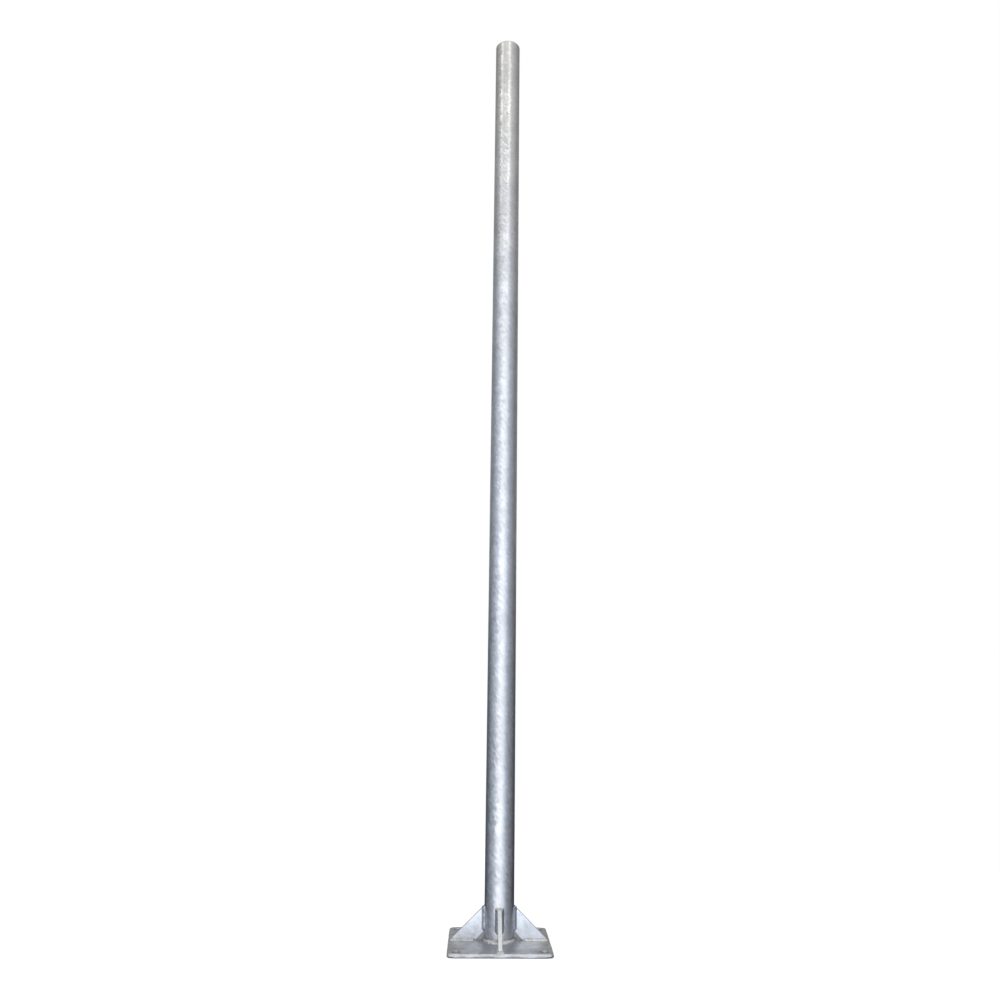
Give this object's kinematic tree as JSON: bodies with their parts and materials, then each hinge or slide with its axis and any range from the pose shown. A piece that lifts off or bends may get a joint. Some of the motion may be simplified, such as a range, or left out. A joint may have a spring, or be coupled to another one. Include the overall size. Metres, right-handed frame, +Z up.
{
  "type": "camera pole",
  "caption": "Galvanised steel surveillance camera pole: a round tube on a square drilled base plate, braced by welded gussets.",
  "frame": {"origin": "centre of the base plate's underside", "axes": "+Z up along the tube, -Y towards the viewer"},
  "size_m": [0.3, 0.3, 3.1],
  "materials": {
    "galvanised_tube": "hot-dip galvanised, satin, faint spangle",
    "galvanised_plate": "hot-dip galvanised, dull, mottled",
    "galvanised_gusset": "hot-dip galvanised, bright, faint spangle",
    "galvanised_weld": "galvanised over rippled weld beads, dull"
  },
  "bodies": {
    "root": {"base_plate": "galvanised_plate", "pole_tube": "galvanised_tube", "gusset_right": "galvanised_gusset", "gusset_back": "galvanised_gusset", "gusset_left": "galvanised_gusset", "gusset_front": "galvanised_gusset", "weld_tube_base": "galvanised_weld", "weld_right_tube_left": "galvanised_weld", "weld_right_tube_right": "galvanised_weld", "weld_right_top": "galvanised_weld", "weld_right_plate_left": "galvanised_weld", "weld_right_plate_right": "galvanised_weld", "weld_right_toe": "galvanised_weld", "weld_back_tube_left": "galvanised_weld", "weld_back_tube_right": "galvanised_weld", "weld_back_top": "galvanised_weld", "weld_back_plate_left": "galvanised_weld", "weld_back_plate_right": "galvanised_weld", "weld_back_toe": "galvanised_weld", "weld_left_tube_left": "galvanised_weld", "weld_left_tube_right": "galvanised_weld", "weld_left_top": "galvanised_weld", "weld_left_plate_left": "galvanised_weld", "weld_left_plate_right": "galvanised_weld", "weld_left_toe": "galvanised_weld", "weld_front_tube_left": "galvanised_weld", "weld_front_tube_right": "galvanised_weld", "weld_front_top": "galvanised_weld", "weld_front_plate_left": "galvanised_weld", "weld_front_plate_right": "galvanised_weld", "weld_front_toe": "galvanised_weld"}
  },
  "joints": []
}
